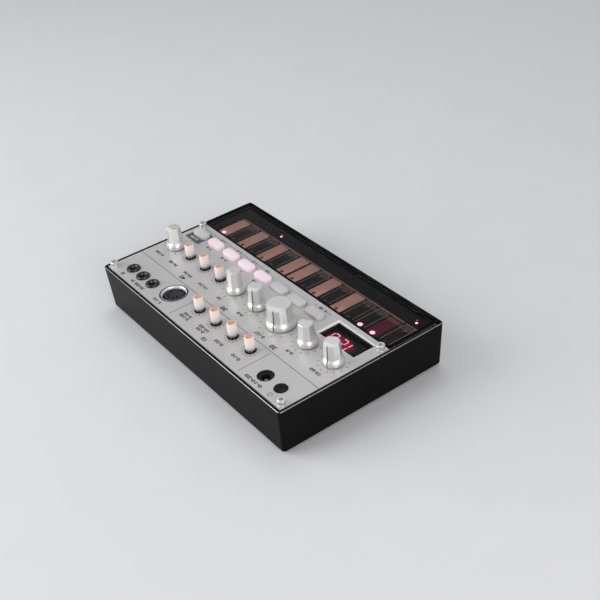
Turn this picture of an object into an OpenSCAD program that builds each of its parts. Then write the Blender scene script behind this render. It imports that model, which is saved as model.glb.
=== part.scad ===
// Table-top bass synthesizer: a drafted tub with a screwed-on control panel, a touch
// keyboard under a smoked cover, knobs on potentiometers, sprung buttons, sockets on the
// rear edge, and a battery bay with a hinged door underneath.
// +X is the player's right, +Y the socket side, +Z up. z = 0 is the table under the feet.

/* [Case] */
// Width of the case at its rim
case_w = 193; // [191:0.5:205]
// Depth of the case at its rim
case_d = 115; // [113.5:0.5:122]
// Height of the case from its underside to its rim
case_h = 29; // [29:0.5:38]
// Thickness of the side walls below the ledge
case_wall = 3; // [2.6:0.1:3.6]
// Thickness of the case floor
floor_t = 3; // [2.8:0.1:3.6]
// How far each end wall leans in towards the underside
draft_side = 1.8; // [0.4:0.1:2.2]
// How far the front and rear walls lean in towards the underside
draft_end = 1; // [0.4:0.1:1.4]
// Radius of the upright corners
corner_r = 2; // [1:0.5:3.5]
// Width of the rim round the panel
rim_t = 1.4; // [1:0.1:1.7]
// Height of the rubber feet below the case
foot_h = 2; // [1:0.5:4]
// Radius of the rubber feet
foot_r = 5; // [3.5:0.5:6.5]

/* [Panels] */
// Thickness of the control panel
panel_t = 1.8; // [1.4:0.1:2.4]
// Gap between the rim and the panel
panel_gap = 0.8; // [0.4:0.1:1]
// Line where the control panel ends and the touch cover begins
split_y = -19; // [-20:0.1:-18.6]
// Gap between the control panel and the touch cover
split_gap = 0.5; // [0.3:0.1:0.8]
// Thickness of the smoked touch cover
cover_t = 1.5; // [1:0.1:1.7]
// Distance of the panel screws from the case's ends
screw_end = 5.3; // [5.1:0.1:5.6]
// Distance of the rear panel screws from the case's rear
screw_rear = 5.6; // [5.5:0.1:7.5]
// Distance of the front panel screws from the split line
screw_front = 3.7; // [3.5:0.1:7]

/* [Boards] */
// Gap between the battery bay's roof and the main board
board_gap = 0.6; // [0.4:0.1:0.8]
// Thickness of both circuit boards
board_t = 1.6; // [1:0.1:1.6]
// Radius of the board screws
screw_r = 1.25; // [1:0.05:1.5]

/* [Big and large knobs] */
// Height of the large knobs' tops above the panel
knob_top = 14.8; // [12:0.2:18]
// Running gap between knob and panel
knob_lift = 0.6; // [0.4:0.1:1]
// Radius of a large knob's skirt
skirt_r = 6; // [5.6:0.1:6.8]
// Radius of the filter knob's skirt
big_skirt_r = 9.2; // [8:0.1:11]
// Height of the skirts
skirt_h = 3.8; // [3:0.1:5]
// Radius of the pot shafts
shaft_r = 3; // [2.5:0.1:3.1]
// Line of the middle row of knobs
row_y = 10.8; // [10:0.1:12]
// Octave knob, from the case's left end
octave_end = 13.9; // [13.5:0.1:16.5]
// Peak knob, from the middle line
peak_x = -59.3; // [-61:0.1:-57]
// Filter knob, from the middle line
cutoff_x = -34; // [-37:0.1:-31]
// Rate knob, from the middle line
rate_x = -10.3; // [-13:0.1:-8]
// Intensity knob, from the middle line
intensity_x = 12.6; // [10:0.1:14]
// Volume knob, from the case's right end
volume_end = 13.9; // [13.5:0.1:15.5]

/* [Slim knobs] */
// Height of the clear slim knobs above the panel
slim_top = 9.7; // [7:0.1:12]
// Radius of the clear slim knobs
slim_r = 2.9; // [2.4:0.1:3.1]
// Radius of the panel holes round the slim knobs
slim_hole_r = 3.6; // [3.5:0.1:4.2]
// Distance of the rear row of slim knobs from the case's rear
rear_row_in = 19.6; // [17.5:0.1:21.5]
// First slim knob of the rear row, from the middle line
rear_row_x = -42.2; // [-44:0.1:-40]
// Spacing of the rear row of slim knobs
rear_row_pitch = 17.7; // [14:0.1:18]

/* [Buttons] */
// Gap between neighbouring buttons' caps
button_gap = 3.75; // [2.6:0.05:7]
// Depth of a button's cap
button_d = 6.4; // [5:0.1:7.4]
// Corner radius of a button's cap
button_corner = 2.6; // [1:0.1:3]
// Height of a button above the panel
button_up = 2.4; // [1.5:0.1:4]
// Travel of a button
button_travel = 1; // [0.4:0.1:1]
// Distance of the buttons behind the split line
button_in = 10; // [9.4:0.1:11]
// First button, from the display opening's edge
button_lead = 14; // [13:0.1:16]
// Last button, from the case's right end
button_end = 13.65; // [13.5:0.05:16]
// Radius of the power button
power_r = 3.9; // [3:0.1:4.4]
// Height of the power button above the panel
power_up = 0.8; // [0.4:0.1:3]
// Travel of the power button
power_travel = 1.2; // [0.5:0.1:1.2]
// Power button, from the case's left end
power_end = 15.9; // [15.5:0.1:17.5]
// Power button, from the case's rear
power_in = 12.7; // [11.5:0.1:14.5]

/* [Display] */
// Width of the display opening
display_w = 33; // [30:0.5:33]
// Depth of the display opening
display_d = 16.3; // [14:0.1:16.5]
// Middle of the display, from the case's left end
display_end = 26; // [26:0.1:27.5]
// Distance of the display behind the split line
display_in = 11.4; // [11.2:0.1:11.6]
// Depth of the display's window below the panel's top
display_recess = 1.4; // [1.2:0.1:2]

/* [Sockets] */
// Bore of the headphone and sync jacks
plug_r = 1.8; // [1.7:0.05:2]
// Radius of a jack's bushing
bushing_r = 4.4; // [3.8:0.1:4.8]
// Sync input jack, from the case's right end
jack_end = 41.1; // [40.5:0.1:42.5]
// Spacing of the three jacks
jack_pitch = 12; // [11.2:0.1:12.2]
// Distance of the three jacks from the case's rear
jack_in = 12.8; // [11.5:0.1:14.5]
// Outer radius of the round five-pin socket
din_r = 8.3; // [8.2:0.1:8.8]
// Five-pin socket, from the case's right end
din_end = 59.2; // [58.5:0.1:60.5]
// Five-pin socket, from the case's rear
din_in = 17.3; // [16.5:0.1:18.5]
// Bore of the power inlet
inlet_r = 2.9; // [2.7:0.1:3.2]
// Power inlet, from the case's left end
inlet_end = 30.2; // [29.5:0.1:32.5]
// Power inlet, from the case's rear
inlet_in = 12.9; // [11.5:0.1:14.5]

/* [Touch keyboard] */
// Number of touch keys
key_count = 16; // [8:1:16]
// Margin between the cover's left end and the touch keys
key_left = 3.4; // [3.2:0.1:5]
// Margin between the touch keys and the cover's right end
key_right = 10.8; // [4:0.1:12]
// Thickness of the copper keys
key_t = 0.25; // [0.1:0.05:0.3]
// Distance of the rear key lamps from the cover's rear edge
lamp_in = 3.9; // [3.6:0.1:4.4]
// Distance of the front key lamps from the cover's front edge
step_lamp_in = 9.1; // [8:0.1:10]

/* [Batteries] */
// Diameter of a battery cell
cell_d = 14.2; // [13.6:0.1:14.2]
// Length of a battery cell with its contact
cell_l = 50.4; // [49.5:0.1:50.5]
// Middle line of the battery bay
bay_y = -4; // [-4.5:0.1:-3]
// Thickness of the battery door
door_t = 1.5; // [1.2:0.1:1.7]
// Radius of the door's hinge bead
bead_r = 1; // [0.8:0.05:1]

/* [Speaker] */
// Radius of the speaker
speaker_r = 16.5; // [13:0.5:16.5]
// Height of the speaker
speaker_h = 12; // [9:0.5:14]
// Speaker, from the case's right end
speaker_end = 24.5; // [24:0.1:25]
// Line of the speaker
speaker_y = -5; // [-6:0.5:-3]

/* [Hidden] */
$fn = 48;
eps = 0.02;
seat = 0.3;
fit = 0.05;
running = 0.08;

case_top = foot_h + case_h;
floor_z = foot_h + floor_t;
ledge_z = case_top - panel_t;
edge_r = 0.4;
left = -case_w / 2;
right = case_w / 2;
rear = case_d / 2;
function side_w(z) = case_w - 2 * draft_side * (case_top - z) / case_h;
function side_d(z) = case_d - 2 * draft_end * (case_top - z) / case_h;

panel_w = case_w - 2 * rim_t - 2 * panel_gap;
panel_rear = rear - rim_t - panel_gap;
panel_front = split_y + split_gap / 2;
cover_rear = split_y - split_gap / 2;
cover_front = -panel_rear;

// Battery bay, next to the speaker, and the door under it
speaker_x = right - speaker_end;
speaker_ring = seat + 1;
cell_gap = 0.4;
end_gap = 0.2;
contact_t = 0.4;
spring_l = 2.8;
row_pitch = cell_d + cell_gap;
bay_w = 2 * cell_l + end_gap + 2 * contact_t + spring_l;
bay_d = 3 * cell_d + 4 * cell_gap;
bay_wall = 1.2;
bay_roof = 0.9;
bay_ring_gap = 0.7;
bay_x = speaker_x - speaker_r - speaker_ring - bay_ring_gap - bay_wall - bay_w / 2;
cell_z = foot_h + door_t + cell_gap + cell_d / 2;
bay_top = cell_z + cell_d / 2 + cell_gap;
door_lip = 1.2;
door_w = bay_w + 2 * door_lip;
door_d = bay_d + 2 * door_lip;
hinge_y = bay_y + door_d / 2;
hinge_z = foot_h + bead_r;
door_pin_r = 0.6;
door_pin_l = 1.5;
tab_w = 3;

board_under = bay_top + bay_roof + board_gap;
board_z = board_under + board_t;
board_drop = ledge_z - board_z;

gasket_t = 0.6;
gasket_w = 1.6;
touch_z = ledge_z - gasket_t;
touch_under = touch_z - board_t;
touch_inset = 2.3;
touch_w = panel_w - 2 * touch_inset;
touch_rear = cover_rear - 1.3;
touch_front = case_wall + seat - side_d(touch_under) / 2;
key_pitch = (panel_w - key_left - key_right) / key_count;
key_x = -panel_w / 2 + key_left + key_pitch / 2;
lamp_y = cover_rear - lamp_in;
step_lamp_y = cover_front + step_lamp_in;

screw_x = right - screw_end;
screw_rear_y = rear - screw_rear;
screw_front_y = split_y + screw_front;
boss_r = 2.8;
panel_screw_r = 1.5;
boss_bore = 12;
SCREWS = [[-screw_x, screw_rear_y], [screw_x, screw_rear_y],
          [-screw_x, screw_front_y], [screw_x, screw_front_y]];
foot_in_x = 12.5;
foot_in_y = 11.5;
foot_x = right - foot_in_x;
foot_y = rear - foot_in_y;
foot_seat = 0.5;
FEET = [[-foot_x, -foot_y], [foot_x, -foot_y], [-foot_x, foot_y], [foot_x, foot_y]];

// Turn of each pointer from straight back, clockwise seen from above
octave_turn = -15;
peak_turn = 150;
cutoff_turn = -25;
rate_turn = -28;
intensity_turn = 10;
volume_turn = -3;
slim_turn = -20;

octave_x = left + octave_end;
volume_x = right - volume_end;
pot_gap = 2.2;
pot_h = board_drop - pot_gap;
pot_w = 12;
pot_d = 11;
pot_bushing_r = shaft_r + 0.8;
shaft_low = board_z + 1.5;
shaft_top = case_top + knob_top - 3.6;
flat_x = 0.5;
LARGE_X = [peak_x, cutoff_x, rate_x, intensity_x, volume_x];

slim_collar_r = slim_hole_r - 0.25;
slim_pot_w = 9.6;
slim_pot_h = board_drop - pot_gap - 0.4;
slim_low = board_z + 1.4;
rear_row_y = rear - rear_row_in;
SLIM = [for (i = [0:3]) [rear_row_x + i * rear_row_pitch, rear_row_y],
        for (i = [1:3]) [intensity_x + i * (volume_x - intensity_x) / 4, row_y]];

// Main board on its posts, the middle ones between two slim pots
board_clear = 2.4;
board_edge = 1.7;
board_w = 2 * (screw_x - boss_r - board_clear);
board_rear = side_d(board_under) / 2 - case_wall - board_edge;
post_r = 3;
post_in = 6;
post_x = board_w / 2 - post_in;
post_mid_x = rear_row_x + 2.5 * rear_row_pitch;
post_rear_y = 27;
post_front_y = -26.6;
post_mid_y = -29;
board_front = post_mid_y - post_r;
screw_bore = 9;
POSTS = [[-post_x, post_rear_y], [post_mid_x, post_rear_y], [post_x, post_rear_y],
         [-post_x, post_front_y], [post_mid_x, post_mid_y], [post_x, post_front_y]];
stake_in_x = 3;
stake_in_y = 4.5;
stake_x = touch_w / 2 - stake_in_x;
stake_front_y = touch_front + stake_in_y;
stake_rear_y = touch_rear - stake_in_y;
stake_r = 1.2;
STAKES = [[-stake_x, stake_front_y], [0, stake_front_y], [stake_x, stake_front_y],
          [-stake_x, stake_rear_y], [stake_x, stake_rear_y]];

display_x = left + display_end;
display_y = split_y + display_in;
window_t = 3.4;
window_gap = 0.3;
window_low = case_top - display_recess - window_t;

stem_r = 1.5;
flange_t = 1.1;
flange_out = 1.2;
switch_w = 6.2;
switch_gap = 0.6;
switch_floor = 0.4;
power_switch_w = 8.4;
button_count = 8;
button_x = display_x + display_w / 2 + button_lead;
button_pitch = (right - button_end - button_x) / (button_count - 1);
button_w = button_pitch - button_gap;
button_y = split_y + button_in;
power_x = left + power_end;
power_y = rear - power_in;
function button_at(i) = button_x + i * button_pitch;
flange_z = ledge_z - seat - flange_t;
switch_h = flange_z - button_travel - switch_gap - board_z;
power_switch_h = flange_z - power_travel - switch_gap - board_z;
stem_gap = 0.2;
stem_z = board_z + switch_floor + button_travel + stem_gap;
power_stem_z = board_z + switch_floor + power_travel + stem_gap;

jack_x = right - jack_end;
jack_y = rear - jack_in;
din_x = right - din_end;
din_y = rear - din_in;
din_base = 1.4;
shell_t = 1;
inlet_x = left + inlet_end;
inlet_y = rear - inlet_in;
inlet_low = board_z + 0.6;

// Rectangle with round corners, centred
module rounded(w, d, r) {
    square([w - 2 * r, d], center = true);
    square([w, d - 2 * r], center = true);
    for (x = [-1, 1], y = [-1, 1])
        translate([x * (w / 2 - r), y * (d / 2 - r)]) circle(r);
}

// Upright round bar from z0 to z1
module bar(r, z0, z1) {
    translate([0, 0, z0]) cylinder(r = r, h = z1 - z0);
}

// Block centred in x and y, from z0 to z1
module block(w, d, z0, z1) {
    translate([-w / 2, -d / 2, z0]) cube([w, d, z1 - z0]);
}

// Block between two lines in y
module strip(w, y0, y1, z0, z1) {
    translate([-w / 2, y0, z0]) cube([w, y1 - y0, z1 - z0]);
}

module level(inset, z) {
    translate([0, 0, z]) linear_extrude(eps)
        rounded(side_w(z) - 2 * inset, side_d(z) - 2 * inset, max(corner_r - inset, 0.8),
                $fn = 32);
}

// Leaning block whose width and depth follow the case's draft, set in by a wall, with its
// top edge broken
module leaning(inset, z0, z1, edge) {
    hull() {
        level(inset, z0);
        level(inset, z1 - edge - eps);
        level(inset + edge, z1 - eps);
    }
}

module place_each(points) {
    for (p = points) translate([p[0], p[1], 0]) children();
}

// Tub

module speaker_slots() {
    slot_w = 1.4;
    slot_pitch = 3.1;
    reach = speaker_r - 3.5;
    n = floor(reach / slot_pitch);
    for (i = [-n:n]) {
        half = sqrt(reach * reach - pow(i * slot_pitch, 2));
        translate([speaker_x + i * slot_pitch, speaker_y, 0])
            block(slot_w, 2 * half, foot_h - 1, floor_z + 1);
    }
}

module bay_block(grow, z0, z1) {
    translate([bay_x, bay_y, 0]) block(bay_w + 2 * grow, bay_d + 2 * grow, z0, z1);
}

module door_pocket() {
    slack = 0.3;
    finger_w = 12;
    finger_r = 1.6;
    door_left = -door_w / 2 - slack;
    wide = door_w + 2 * slack;
    translate([bay_x, bay_y, 0])
        block(wide, door_d + 2 * slack, foot_h - 1, foot_h + door_t + slack);
    translate([bay_x + door_left, hinge_y, 0]) {
        translate([0, 0, hinge_z]) rotate([0, 90, 0])
            cylinder(r = bead_r + slack, h = wide);
        translate([0, 0, foot_h - 1]) cube([wide, bead_r + slack, bead_r + 1]);
        translate([-door_pin_l, 0, hinge_z]) rotate([0, 90, 0])
            cylinder(r = door_pin_r + running, h = wide + 2 * door_pin_l);
    }
    translate([bay_x - finger_w / 2, bay_y - door_d / 2, foot_h]) rotate([0, 90, 0])
        cylinder(r = finger_r, h = finger_w);
}

module contact_slots() {
    slack = 0.2;
    for (s = [-1, 1])
        translate([bay_x + s * (bay_w / 2 - contact_t / 2), bay_y + s * row_pitch, 0])
            block(contact_t + 2 * slack, tab_w + 2 * slack, bay_top - 1, bay_top + bay_roof + 1);
}

module lower_case() {
    color([0.06, 0.06, 0.06]) difference() {
        union() {
            difference() {
                leaning(0, foot_h, case_top, edge_r);
                leaning(case_wall, floor_z, case_top + 1, 0);
            }
            bay_block(bay_wall, foot_h, bay_top + bay_roof);
            place_each(POSTS) bar(post_r, floor_z - 1, board_under);
            place_each(STAKES) bar(2 * stake_r, floor_z - 1, touch_under);
            place_each(STAKES) bar(stake_r, touch_under - 1, touch_z - 0.2);
            intersection() {
                place_each(SCREWS) bar(boss_r, floor_z - 1, ledge_z);
                leaning(case_wall / 2, foot_h, case_top, 0);
            }
            translate([speaker_x, speaker_y, 0]) difference() {
                bar(speaker_r + speaker_ring, floor_z - 1, floor_z + 2.4);
                bar(speaker_r + seat, floor_z - 2, floor_z + 4);
            }
        }
        strip(case_w - 2 * rim_t, -case_d / 2 + rim_t, case_d / 2 - rim_t,
              ledge_z, case_top + 2);
        bay_block(0, foot_h - 1, bay_top);
        door_pocket();
        contact_slots();
        speaker_slots();
        place_each(POSTS) bar(screw_r + fit, board_under - screw_bore, board_under + 1);
        place_each(SCREWS) bar(panel_screw_r + fit, ledge_z - boss_bore, ledge_z + 1);
        place_each(FEET) bar(foot_r + 0.1, foot_h - 1, foot_h + foot_seat);
    }
}

module rubber_feet() {
    color([0.03, 0.03, 0.03]) place_each(FEET) union() {
        cylinder(r1 = foot_r - 0.6, r2 = foot_r, h = 0.6);
        bar(foot_r, 0.6, foot_h + foot_seat);
    }
}

module battery_door() {
    grip_w = 14;
    slot_w = 1;
    slot_l = 9;
    front = bay_y - door_d / 2;
    color([0.07, 0.07, 0.07]) translate([bay_x, 0, 0]) difference() {
        union() {
            translate([-door_w / 2, front, foot_h]) cube([door_w, door_d, door_t]);
            translate([-door_w / 2, hinge_y, hinge_z]) rotate([0, 90, 0])
                cylinder(r = bead_r, h = door_w);
            translate([-door_w / 2 - door_pin_l, hinge_y, hinge_z]) rotate([0, 90, 0])
                cylinder(r = door_pin_r, h = door_w + 2 * door_pin_l);
        }
        for (s = [-1, 1])
            translate([s * grip_w / 2 - slot_w / 2, front - 1, foot_h - 1])
                cube([slot_w, slot_l + 1, door_t + 2]);
        for (i = [0:3])
            translate([-grip_w / 2 + 2, front + 1.6 + i * 1.8, foot_h - 1])
                cube([grip_w - 4, 0.7, 1.4]);
    }
}

// Control panel

module panel_openings(z0, z1) {
    place_each([for (x = concat([octave_x], LARGE_X)) [x, row_y]])
        bar(pot_bushing_r + 0.3, z0, z1);
    place_each(SLIM) bar(slim_hole_r, z0, z1);
    for (i = [0:button_count - 1])
        translate([button_at(i), button_y, z0]) linear_extrude(z1 - z0)
            rounded(button_w + 0.6, button_d + 0.6, button_corner + 0.3);
    translate([power_x, power_y, 0]) bar(power_r + 0.2, z0, z1);
    translate([display_x, display_y, 0]) block(display_w, display_d, z0, z1);
    for (i = [0:2])
        translate([jack_x + i * jack_pitch, jack_y, 0]) bar(bushing_r + 0.15, z0, z1);
    translate([din_x, din_y, 0]) bar(din_r + 0.75, z0, z1);
    translate([inlet_x, inlet_y, 0]) bar(inlet_r + 2.1, z0, z1);
    place_each(SCREWS) bar(panel_screw_r + 0.3, z0, z1);
}

module top_panel() {
    mid_y = (panel_rear + panel_front) / 2;
    collar_low = window_low + 1;
    collar = 1;
    rib_low = ledge_z - 1.6;
    color([0.78, 0.77, 0.76]) difference() {
        union() {
            translate([0, mid_y, ledge_z]) linear_extrude(panel_t)
                rounded(panel_w, panel_rear - panel_front, 0.8);
            translate([display_x, display_y, 0])
                block(display_w + 2 * collar, display_d + 2 * collar, collar_low, ledge_z + 1);
            strip(2 * post_x, panel_front, panel_front + 1.1, rib_low, ledge_z + 1);
        }
        panel_openings(collar_low - 1, case_top + 1);
    }
}

module panel_screws() {
    washer_t = 0.5;
    head_r = 2.5;
    head_h = 3;
    head_z = case_top + washer_t;
    color([0.85, 0.85, 0.86]) place_each(SCREWS) difference() {
        union() {
            bar(panel_screw_r, ledge_z - boss_bore + 1, head_z);
            bar(head_r + 0.5, case_top, head_z);
            bar(head_r, head_z, head_z + head_h - 0.3);
            translate([0, 0, head_z + head_h - 0.3])
                cylinder(r1 = head_r, r2 = head_r - 0.3, h = 0.3);
        }
        translate([0, 0, head_z + 1.2]) cylinder(r = 1.45, h = head_h, $fn = 6);
    }
}

// Touch keyboard

module touch_cover() {
    mid_y = (cover_rear + cover_front) / 2;
    color([0.08, 0.07, 0.07, 0.7]) translate([0, mid_y, ledge_z]) linear_extrude(cover_t)
        rounded(panel_w, cover_rear - cover_front, 0.8);
}

module touch_gasket() {
    color([0.02, 0.02, 0.02]) difference() {
        strip(touch_w, touch_front, touch_rear, touch_z, ledge_z);
        strip(touch_w - 2 * gasket_w, touch_front + gasket_w, touch_rear - gasket_w / 2,
              touch_z - 1, ledge_z + 1);
    }
}

module touch_board() {
    color([0.02, 0.09, 0.05]) difference() {
        strip(touch_w, touch_front, touch_rear, touch_under, touch_z);
        place_each(STAKES) bar(stake_r + 0.1, touch_under - 1, touch_z + 1);
    }
}

module touch_keys() {
    gap = 2.1;
    key_rear = lamp_y - 1.2;
    key_front = step_lamp_y + 4.6;
    wide = key_pitch - gap;
    color([0.62, 0.33, 0.25]) for (i = [0:key_count - 1])
        translate([key_x + i * key_pitch - wide / 2, key_front, touch_z])
            cube([wide, key_rear - key_front, key_t]);
}

module touch_lamps() {
    lamp_w = 1.6;
    lamp_d = 0.8;
    lamp_t = 0.35;
    color([0.95, 0.75, 0.75]) for (i = [0:key_count - 1], y = [lamp_y, step_lamp_y])
        translate([key_x + i * key_pitch, y, 0])
            block(lamp_w, lamp_d, touch_z, touch_z + lamp_t);
}

module board_link() {
    link_w = 30;
    link_d = 2.5;
    link_y = touch_rear - 2.4;
    color([0.05, 0.05, 0.05]) translate([0, link_y, 0])
        block(link_w, link_d, board_z, touch_under);
}

// Main board and what stands on it

module main_board() {
    color([0.03, 0.2, 0.08]) difference() {
        strip(board_w, board_front, board_rear, board_under, board_z);
        place_each(POSTS) bar(screw_r + 0.2, board_under - 1, board_z + 1);
        for (i = [0:2])
            translate([jack_x + i * jack_pitch, jack_y, 0])
                bar(plug_r + 0.6, board_under - 1, board_z + 1);
    }
}

module board_screws() {
    head_r = screw_r + 1.1;
    head_h = 1.5;
    cross_w = 0.5;
    color([0.7, 0.7, 0.7]) place_each(POSTS) difference() {
        union() {
            bar(screw_r, board_under - screw_bore + 1, board_z);
            bar(head_r, board_z, board_z + head_h);
        }
        for (a = [0, 90]) rotate(a)
            block(2 * screw_r, cross_w, board_z + head_h / 2, board_z + 2 * head_h);
    }
}

module display_module() {
    color([0.1, 0.1, 0.1]) translate([display_x, display_y, 0])
        block(display_w - 2, display_d - 1, board_z, window_low);
}

module display_window() {
    color([0.06, 0.08, 0.07, 0.8]) translate([display_x, display_y, 0])
        block(display_w - 2 * window_gap, display_d - 2 * window_gap,
              window_low, window_low + window_t);
}

// Pot: square can, and a round bushing that reaches up into the panel
module pot(w, d, h, bushing, bore, low) {
    difference() {
        union() {
            block(w, d, board_z, board_z + h);
            bar(bushing, board_z + h - 1, case_top - 0.4);
        }
        bar(bore, low - 0.3, case_top + 1);
    }
}

module knob_pots() {
    color([0.25, 0.25, 0.26]) for (x = LARGE_X) translate([x, row_y, 0])
        pot(pot_w, pot_d, pot_h, pot_bushing_r, shaft_r + running, shaft_low);
}

module octave_switch() {
    color([0.3, 0.3, 0.22]) translate([octave_x, row_y, 0])
        pot(pot_w - 5.4, pot_d + 4, pot_h + 0.6, pot_bushing_r, shaft_r + running, shaft_low);
}

module slim_pots() {
    color([0.03, 0.03, 0.03]) place_each(SLIM) difference() {
        union() {
            block(slim_pot_w, slim_pot_w, board_z, board_z + slim_pot_h);
            bar(slim_collar_r, board_z + slim_pot_h - 1, case_top - 1);
        }
        bar(slim_r + running, slim_low - 0.3, case_top + 1);
    }
}

// Round bar with a flat on its side away from the pointer
module d_bar(r, flat, z0, z1) {
    difference() {
        bar(r, z0, z1);
        translate([-r - 1, -2 * r - 1 + flat, z0 - 1]) cube([2 * r + 2, r + 1, z1 - z0 + 2]);
    }
}

module shaft(x, turn) {
    color([0.75, 0.75, 0.77]) translate([x, row_y, 0]) rotate(-turn) union() {
        bar(shaft_r, shaft_low, case_top + 1);
        d_bar(shaft_r, flat_x, case_top + 0.9, shaft_top);
    }
}

// Knob of revolution: skirt, tapered body with facets, a bevel and a groove at the pointer
module knob(x, turn, skirt, body_share, facets) {
    low = case_top + knob_lift;
    h = knob_top - knob_lift;
    body = skirt * body_share;
    top = body - 0.55;
    bevel_in = 2.1 + (skirt - skirt_r) * 0.7;
    groove_w = 0.9;
    apothem = body - 0.32;
    color([0.8, 0.8, 0.8]) translate([x, row_y, low]) rotate(-turn) difference() {
        rotate_extrude() polygon([[0, 0], [skirt - 0.2, 0], [skirt, 0.4], [skirt, 1.9],
            [skirt - 0.25, 2.8], [body + 0.25, skirt_h - 0.25], [body, skirt_h],
            [top, h - 0.3], [top - 0.3, h], [0, h]]);
        for (i = [0:facets - 1]) rotate((i + 0.5) * 360 / facets)
            translate([-skirt, apothem, skirt_h + 0.4]) rotate([2.2, 0, 0])
                cube([2 * skirt, skirt, h]);
        translate([-skirt, bevel_in, h]) rotate([-28, 0, 0]) cube([2 * skirt, 2 * skirt, 8]);
        translate([-groove_w / 2, top - 0.6, skirt_h]) cube([groove_w, skirt, h]);
        translate([-groove_w / 2, skirt - 0.5, -1]) cube([groove_w, 2, skirt_h + 2]);
        d_bar(shaft_r + fit, flat_x, -1, shaft_top - low + 0.3);
        bar(skirt - 1.2, -1, 0.8);
    }
}

// Clear slim knob, one piece with its pot's shaft, with a notch for a pointer
module slim_knob(i) {
    z1 = case_top + slim_top;
    taper = 0.2;
    color([0.93, 0.8, 0.78, 0.8]) translate([SLIM[i][0], SLIM[i][1], 0]) rotate(-slim_turn)
        difference() {
            union() {
                bar(slim_r, slim_low, case_top);
                translate([0, 0, case_top])
                    cylinder(r1 = slim_r, r2 = slim_r - taper, h = slim_top - 0.3);
                translate([0, 0, z1 - 0.3])
                    cylinder(r1 = slim_r - taper, r2 = slim_r - taper - 0.3, h = 0.3);
            }
            translate([-0.3, 1, z1 - 0.8]) cube([0.6, slim_r, 2]);
        }
}

// Buttons

module button(i) {
    top = case_top + button_up;
    edge = 0.4;
    color([0.9, 0.82, 0.83]) translate([button_at(i), button_y, 0]) union() {
        bar(stem_r, stem_z, flange_z + 0.1);
        translate([0, 0, flange_z]) linear_extrude(flange_t)
            rounded(button_w + flange_out, button_d + flange_out, button_corner + 0.4);
        translate([0, 0, flange_z + flange_t - 0.1])
            linear_extrude(top - edge - flange_z - flange_t + 0.1)
                rounded(button_w, button_d, button_corner);
        translate([0, 0, top - edge - 0.1]) linear_extrude(edge + 0.1)
            rounded(button_w - 2 * edge, button_d - 2 * edge, button_corner - edge);
    }
}

module push_switch(w, h) {
    difference() {
        block(w, w, board_z, board_z + h);
        bar(stem_r + running, board_z + switch_floor, board_z + h + 1);
    }
}

module button_switches() {
    color([0.12, 0.12, 0.12]) for (i = [0:button_count - 1])
        translate([button_at(i), button_y, 0]) push_switch(switch_w, switch_h);
}

module power_button() {
    top = case_top + power_up;
    color([0.2, 0.19, 0.18]) translate([power_x, power_y, 0]) union() {
        bar(stem_r, power_stem_z, flange_z + 0.1);
        bar(power_r + 1, flange_z, flange_z + flange_t);
        bar(power_r, flange_z, top - 0.4);
        translate([0, 0, top - 0.4]) cylinder(r1 = power_r, r2 = power_r - 0.5, h = 0.4);
    }
}

module power_switch() {
    color([0.1, 0.1, 0.1]) translate([power_x, power_y, 0])
        push_switch(power_switch_w, power_switch_h);
}

// Sockets

module dc_inlet() {
    body_w = 9;
    body_d = 11;
    body_top = ledge_z - 1.6;
    color([0.05, 0.05, 0.05]) translate([inlet_x, inlet_y, 0]) difference() {
        union() {
            block(body_w, body_d, board_z, body_top);
            bar(inlet_r + 1.5, body_top - 1, case_top - 1.1);
        }
        bar(inlet_r, inlet_low, case_top + 1);
    }
}

module dc_pin() {
    pin_r = 0.95;
    color([0.85, 0.85, 0.86]) translate([inlet_x, inlet_y, 0])
        bar(pin_r, inlet_low, case_top - 3);
}

module jack(i) {
    body_w = 10.4;
    body_d = 11.6;
    body_top = ledge_z - 1;
    lip = 1.4;
    funnel = 1.6;
    color([0.05, 0.05, 0.05]) translate([jack_x + i * jack_pitch, jack_y, 0]) difference() {
        union() {
            block(body_w, body_d, board_z, body_top);
            translate([0, 0, case_top]) rotate_extrude()
                polygon([[0, body_top - 1 - case_top], [bushing_r, body_top - 1 - case_top],
                    [bushing_r, lip * 0.3], [bushing_r - 0.15, lip * 0.6],
                    [bushing_r - 0.5, lip * 0.85], [bushing_r - 1, lip], [0, lip]]);
        }
        bar(plug_r, board_z - 1, case_top + 2);
        translate([0, 0, case_top + lip - funnel + eps])
            cylinder(r1 = plug_r, r2 = plug_r + 0.7, h = funnel);
    }
}

module midi_socket() {
    core_r = din_r - shell_t - 1.2;
    pin_circle = 3.87;
    pin_r = 0.85;
    core_top = case_top - 0.8;
    hole_low = board_z + 1.8;
    color([0.04, 0.04, 0.04]) translate([din_x, din_y, 0]) difference() {
        bar(core_r, board_z + din_base, core_top);
        for (a = [0:45:180]) rotate(a) translate([pin_circle, 0, 0])
            bar(pin_r, hole_low, core_top + 1);
        translate([0, -core_r, 0]) block(2.2, 2.8, hole_low, core_top + 1);
    }
}

// Metal cup round the socket's core
module midi_shield() {
    lip = 0.15;
    color([0.86, 0.86, 0.87]) translate([din_x, din_y, 0]) difference() {
        union() {
            bar(din_r, board_z, case_top + lip);
            translate([0, 0, case_top + lip]) cylinder(r1 = din_r, r2 = din_r - lip, h = lip);
        }
        bar(din_r - shell_t, board_z + din_base, case_top + 2);
    }
}

// Speaker, cone towards the slots in the floor
module speaker() {
    lip = 1.2;
    h = speaker_h;
    magnet_r = speaker_r / 2;
    color([0.2, 0.2, 0.2]) translate([speaker_x, speaker_y, floor_z]) rotate_extrude()
        polygon([[speaker_r - 2, 0], [speaker_r, 0], [speaker_r, lip],
            [speaker_r - 1.4, lip], [magnet_r + 1, h - 5], [magnet_r, h - 4.5],
            [magnet_r, h], [0, h], [0, h - 5.5], [4, h - 6.5]]);
}

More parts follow.
